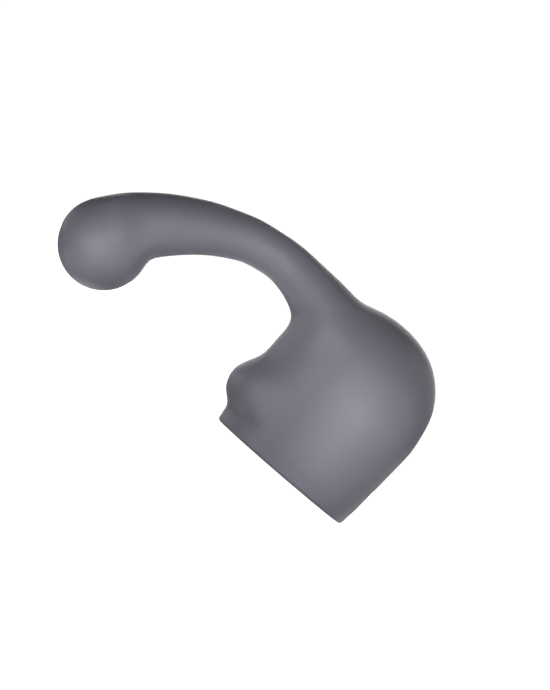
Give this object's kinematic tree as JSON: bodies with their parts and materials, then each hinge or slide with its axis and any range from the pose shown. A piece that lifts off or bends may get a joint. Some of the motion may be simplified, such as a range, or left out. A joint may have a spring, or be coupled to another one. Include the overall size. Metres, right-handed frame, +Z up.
{
  "type": "wand massager attachment",
  "caption": "Slip-on silicone cup for a wand massager's head, with a curved weighted arm ending in a ball tip and a wide nub above the rim.",
  "frame": {"origin": "centre of the cup's mouth, on the rim plane", "axes": "+Z up the axis of the cup, away from the wand; the arm reaches towards -X; symmetric about the XZ plane"},
  "size_m": [0.1786, 0.0756, 0.0821],
  "materials": {
    "soft_silicone": "matte, soft to the touch, slate grey",
    "firm_silicone": "matte, a little darker slate grey",
    "plate_steel": "zinc plated",
    "rod_steel": "turned bar",
    "screw_steel": "black oxide"
  },
  "bodies": {
    "root": {"outer_sleeve": "soft_silicone", "socket_liner": "firm_silicone", "roof_plug": "firm_silicone", "spine_spacers": "firm_silicone", "drive_plate": "plate_steel", "spine_rod": "rod_steel", "tip_weight": "rod_steel", "tip_pin": "rod_steel", "grub_screws": "screw_steel"}
  },
  "joints": []
}
